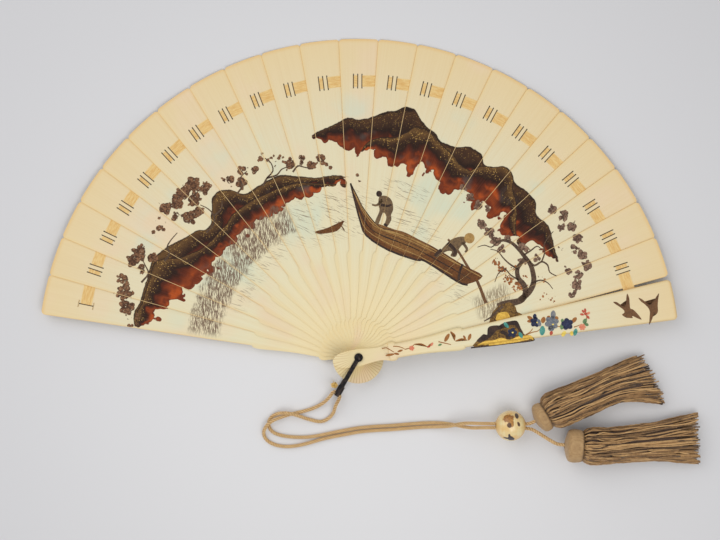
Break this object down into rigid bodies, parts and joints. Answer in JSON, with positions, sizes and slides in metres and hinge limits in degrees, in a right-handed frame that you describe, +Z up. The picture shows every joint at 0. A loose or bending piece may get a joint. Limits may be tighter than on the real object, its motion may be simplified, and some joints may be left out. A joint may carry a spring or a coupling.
{
  "type": "hand fan",
  "caption": "Open brise folding fan with two guards, thin overlapping leaves, slit-threaded silk ribbon, rivet with a metal bail, and a doubled silk cord with a bead and two tassels.",
  "frame": {"origin": "on the table under the middle of the fan's own bounding box, cord and tassels left out; the rivet axis stands 105.5 mm in front of it, at -Y", "axes": "+Z up from the table, +X to the right along the fan's widest extent, +Y from the rivet towards the middle blades' tips"},
  "size_m": [0.4943, 0.3235, 0.0256],
  "materials": {
    "blades": "polished ivory-coloured blade, satin, with fine grain along its length",
    "ribbon": "golden silk ribbon",
    "metal": "dark patinated metal",
    "cord": "braided silk cord",
    "bead": "polished ivory-coloured bead with inlaid spots",
    "tassel": "brown silk threads",
    "lacquer": "painted lacquer with gold"
  },
  "bodies": {
    "rear_guard": {"rear_guard": "blades", "ribbon_00": "ribbon", "rivet": "metal", "rear_washer": "metal", "front_washer": "metal"},
    "leaf_01": {"leaf_01": "blades", "ribbon_01": "ribbon"},
    "leaf_02": {"leaf_02": "blades", "ribbon_02": "ribbon"},
    "leaf_03": {"leaf_03": "blades", "ribbon_03": "ribbon"},
    "leaf_04": {"leaf_04": "blades", "ribbon_04": "ribbon"},
    "leaf_05": {"leaf_05": "blades", "ribbon_05": "ribbon"},
    "leaf_06": {"leaf_06": "blades", "ribbon_06": "ribbon"},
    "leaf_07": {"leaf_07": "blades", "ribbon_07": "ribbon"},
    "leaf_08": {"leaf_08": "blades", "ribbon_08": "ribbon"},
    "leaf_09": {"leaf_09": "blades", "ribbon_09": "ribbon"},
    "leaf_10": {"leaf_10": "blades", "ribbon_10": "ribbon"},
    "leaf_11": {"leaf_11": "blades", "ribbon_11": "ribbon"},
    "leaf_12": {"leaf_12": "blades", "ribbon_12": "ribbon"},
    "leaf_13": {"leaf_13": "blades", "ribbon_13": "ribbon"},
    "leaf_14": {"leaf_14": "blades", "ribbon_14": "ribbon"},
    "leaf_15": {"leaf_15": "blades", "ribbon_15": "ribbon"},
    "leaf_16": {"leaf_16": "blades", "ribbon_16": "ribbon"},
    "leaf_17": {"leaf_17": "blades", "ribbon_17": "ribbon"},
    "leaf_18": {"leaf_18": "blades", "ribbon_18": "ribbon"},
    "leaf_19": {"leaf_19": "blades", "ribbon_19": "ribbon"},
    "leaf_20": {"leaf_20": "blades", "ribbon_20": "ribbon"},
    "leaf_21": {"leaf_21": "blades", "ribbon_21": "ribbon"},
    "front_guard": {"front_guard": "blades"},
    "bail": {"bail": "metal", "bail_collar": "metal", "cord_a": "cord", "cord_b": "cord", "cord_knot": "cord", "tassel_a_head": "tassel", "tassel_a_skirt": "tassel", "tassel_b_head": "tassel", "tassel_b_skirt": "tassel"},
    "bead": {"bead": "bead"}
  },
  "joints": [
    {"name": "fan_fold", "type": "hinge", "parent": "rear_guard", "child": "front_guard", "pos_m": [-0.00029, -0.10496, 0.01166], "axis": [0.025, 0.0462, 0.9986], "range_deg": [0, 158.1]},
    {"name": "leaf_01_turn", "type": "hinge", "parent": "rear_guard", "child": "leaf_01", "pos_m": [-0.00029, -0.10496, 0.01166], "axis": [0.025, 0.0462, 0.9986], "range_deg": [0, 7.2]},
    {"name": "leaf_02_turn", "type": "hinge", "parent": "rear_guard", "child": "leaf_02", "pos_m": [-0.00029, -0.10496, 0.01166], "axis": [0.025, 0.0462, 0.9986], "range_deg": [0, 14.35]},
    {"name": "leaf_03_turn", "type": "hinge", "parent": "rear_guard", "child": "leaf_03", "pos_m": [-0.00029, -0.10496, 0.01166], "axis": [0.025, 0.0462, 0.9986], "range_deg": [0, 21.5]},
    {"name": "leaf_04_turn", "type": "hinge", "parent": "rear_guard", "child": "leaf_04", "pos_m": [-0.00029, -0.10496, 0.01166], "axis": [0.025, 0.0462, 0.9986], "range_deg": [0, 28.65]},
    {"name": "leaf_05_turn", "type": "hinge", "parent": "rear_guard", "child": "leaf_05", "pos_m": [-0.00029, -0.10496, 0.01166], "axis": [0.025, 0.0462, 0.9986], "range_deg": [0, 35.8]},
    {"name": "leaf_06_turn", "type": "hinge", "parent": "rear_guard", "child": "leaf_06", "pos_m": [-0.00029, -0.10496, 0.01166], "axis": [0.025, 0.0462, 0.9986], "range_deg": [0, 42.95]},
    {"name": "leaf_07_turn", "type": "hinge", "parent": "rear_guard", "child": "leaf_07", "pos_m": [-0.00029, -0.10496, 0.01166], "axis": [0.025, 0.0462, 0.9986], "range_deg": [0, 50.1]},
    {"name": "leaf_08_turn", "type": "hinge", "parent": "rear_guard", "child": "leaf_08", "pos_m": [-0.00029, -0.10496, 0.01166], "axis": [0.025, 0.0462, 0.9986], "range_deg": [0, 57.25]},
    {"name": "leaf_09_turn", "type": "hinge", "parent": "rear_guard", "child": "leaf_09", "pos_m": [-0.00029, -0.10496, 0.01166], "axis": [0.025, 0.0462, 0.9986], "range_deg": [0, 64.4]},
    {"name": "leaf_10_turn", "type": "hinge", "parent": "rear_guard", "child": "leaf_10", "pos_m": [-0.00029, -0.10496, 0.01166], "axis": [0.025, 0.0462, 0.9986], "range_deg": [0, 71.55]},
    {"name": "leaf_11_turn", "type": "hinge", "parent": "rear_guard", "child": "leaf_11", "pos_m": [-0.00029, -0.10496, 0.01166], "axis": [0.025, 0.0462, 0.9986], "range_deg": [0, 78.7]},
    {"name": "leaf_12_turn", "type": "hinge", "parent": "rear_guard", "child": "leaf_12", "pos_m": [-0.00029, -0.10496, 0.01166], "axis": [0.025, 0.0462, 0.9986], "range_deg": [0, 85.85]},
    {"name": "leaf_13_turn", "type": "hinge", "parent": "rear_guard", "child": "leaf_13", "pos_m": [-0.00029, -0.10496, 0.01166], "axis": [0.025, 0.0462, 0.9986], "range_deg": [0, 93]},
    {"name": "leaf_14_turn", "type": "hinge", "parent": "rear_guard", "child": "leaf_14", "pos_m": [-0.00029, -0.10496, 0.01166], "axis": [0.025, 0.0462, 0.9986], "range_deg": [0, 100.15]},
    {"name": "leaf_15_turn", "type": "hinge", "parent": "rear_guard", "child": "leaf_15", "pos_m": [-0.00029, -0.10496, 0.01166], "axis": [0.025, 0.0462, 0.9986], "range_deg": [0, 107.3]},
    {"name": "leaf_16_turn", "type": "hinge", "parent": "rear_guard", "child": "leaf_16", "pos_m": [-0.00029, -0.10496, 0.01166], "axis": [0.025, 0.0462, 0.9986], "range_deg": [0, 114.45]},
    {"name": "leaf_17_turn", "type": "hinge", "parent": "rear_guard", "child": "leaf_17", "pos_m": [-0.00029, -0.10496, 0.01166], "axis": [0.025, 0.0462, 0.9986], "range_deg": [0, 121.6]},
    {"name": "leaf_18_turn", "type": "hinge", "parent": "rear_guard", "child": "leaf_18", "pos_m": [-0.00029, -0.10496, 0.01166], "axis": [0.025, 0.0462, 0.9986], "range_deg": [0, 128.75]},
    {"name": "leaf_19_turn", "type": "hinge", "parent": "rear_guard", "child": "leaf_19", "pos_m": [-0.00029, -0.10496, 0.01166], "axis": [0.025, 0.0462, 0.9986], "range_deg": [0, 135.9]},
    {"name": "leaf_20_turn", "type": "hinge", "parent": "rear_guard", "child": "leaf_20", "pos_m": [-0.00029, -0.10496, 0.01166], "axis": [0.025, 0.0462, 0.9986], "range_deg": [0, 143.05]},
    {"name": "leaf_21_turn", "type": "hinge", "parent": "rear_guard", "child": "leaf_21", "pos_m": [-0.00029, -0.10496, 0.01166], "axis": [0.025, 0.0462, 0.9986], "range_deg": [0, 150.2]},
    {"name": "bail_swing", "type": "hinge", "parent": "rear_guard", "child": "bail", "pos_m": [-0.00029, -0.10496, 0.01166], "axis": [0.025, 0.0462, 0.9986], "range_deg": [-28, 2]},
    {"name": "bead_slide", "type": "slide", "parent": "bail", "child": "bead", "axis": [1, 0, 0], "range_m": [-0.009, 0]}
  ],
  "couplings": [
    {"joint": "leaf_01_turn", "follows": "fan_fold", "ratio": 0.045225},
    {"joint": "leaf_02_turn", "follows": "fan_fold", "ratio": 0.090449},
    {"joint": "leaf_03_turn", "follows": "fan_fold", "ratio": 0.13567},
    {"joint": "leaf_04_turn", "follows": "fan_fold", "ratio": 0.1809},
    {"joint": "leaf_05_turn", "follows": "fan_fold", "ratio": 0.22612},
    {"joint": "leaf_06_turn", "follows": "fan_fold", "ratio": 0.27135},
    {"joint": "leaf_07_turn", "follows": "fan_fold", "ratio": 0.31657},
    {"joint": "leaf_08_turn", "follows": "fan_fold", "ratio": 0.3618},
    {"joint": "leaf_09_turn", "follows": "fan_fold", "ratio": 0.40702},
    {"joint": "leaf_10_turn", "follows": "fan_fold", "ratio": 0.45225},
    {"joint": "leaf_11_turn", "follows": "fan_fold", "ratio": 0.49747},
    {"joint": "leaf_12_turn", "follows": "fan_fold", "ratio": 0.54269},
    {"joint": "leaf_13_turn", "follows": "fan_fold", "ratio": 0.58792},
    {"joint": "leaf_14_turn", "follows": "fan_fold", "ratio": 0.63314},
    {"joint": "leaf_15_turn", "follows": "fan_fold", "ratio": 0.67837},
    {"joint": "leaf_16_turn", "follows": "fan_fold", "ratio": 0.72359},
    {"joint": "leaf_17_turn", "follows": "fan_fold", "ratio": 0.76882},
    {"joint": "leaf_18_turn", "follows": "fan_fold", "ratio": 0.81404},
    {"joint": "leaf_19_turn", "follows": "fan_fold", "ratio": 0.85927},
    {"joint": "leaf_20_turn", "follows": "fan_fold", "ratio": 0.90449},
    {"joint": "leaf_21_turn", "follows": "fan_fold", "ratio": 0.94971}
  ]
}
